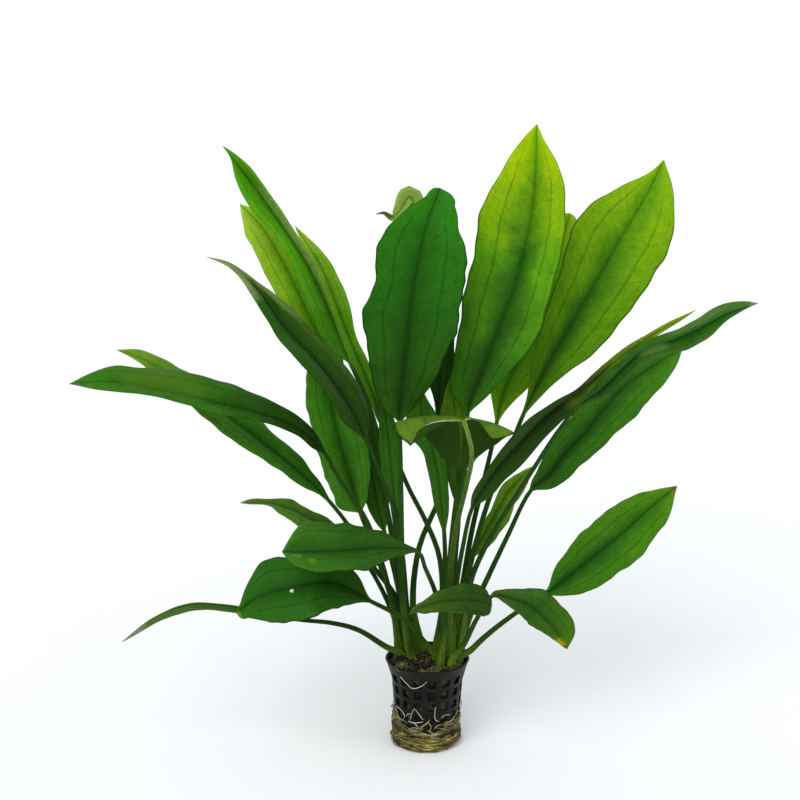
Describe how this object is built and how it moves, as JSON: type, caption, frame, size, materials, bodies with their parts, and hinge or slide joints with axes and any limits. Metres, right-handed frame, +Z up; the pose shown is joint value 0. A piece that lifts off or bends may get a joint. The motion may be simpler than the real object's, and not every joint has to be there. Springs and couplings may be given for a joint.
{
  "type": "potted amazon sword plant",
  "caption": "Aquarium sword plant: rosettes of long-stalked lance-shaped leaves on short rootstocks in a slotted net pot of wet rockwool, roots matted round its foot",
  "frame": {"origin": "centre of the flat underside of the root mat, which is what the plant stands on", "axes": "+Z up along the pot's axis, -Y towards the plant's front as pictured, +X to the viewer's right"},
  "size_m": [0.3826, 0.1347, 0.367],
  "materials": {
    "pot_plastic": "matt moulded plastic",
    "roots": "matted pale ochre roots",
    "rockwool": "wet brown mineral fibre with moss",
    "crown": "fibrous rootstock",
    "leaf": "satin green leaf"
  },
  "bodies": {
    "root": {"pot": "pot_plastic", "root_mat": "roots", "growing_medium": "rockwool", "crown_left": "crown", "crown_right": "crown", "leaf_left_01": "leaf", "leaf_left_02": "leaf", "leaf_left_03": "leaf", "leaf_left_04": "leaf", "leaf_left_05": "leaf", "leaf_left_06": "leaf", "leaf_left_07": "leaf", "leaf_left_08": "leaf", "leaf_left_09": "leaf", "leaf_left_10": "leaf", "leaf_left_11": "leaf", "leaf_left_12": "leaf", "leaf_left_13": "leaf", "leaf_right_01": "leaf", "leaf_right_02": "leaf", "leaf_right_03": "leaf", "leaf_right_04": "leaf", "leaf_right_05": "leaf", "leaf_right_06": "leaf", "leaf_right_07": "leaf", "leaf_right_08": "leaf", "leaf_right_09": "leaf", "leaf_right_10": "leaf", "leaf_right_11": "leaf", "leaf_right_12": "leaf", "leaf_right_13": "leaf", "leaf_right_14": "leaf", "leaf_right_15": "leaf"}
  },
  "joints": []
}
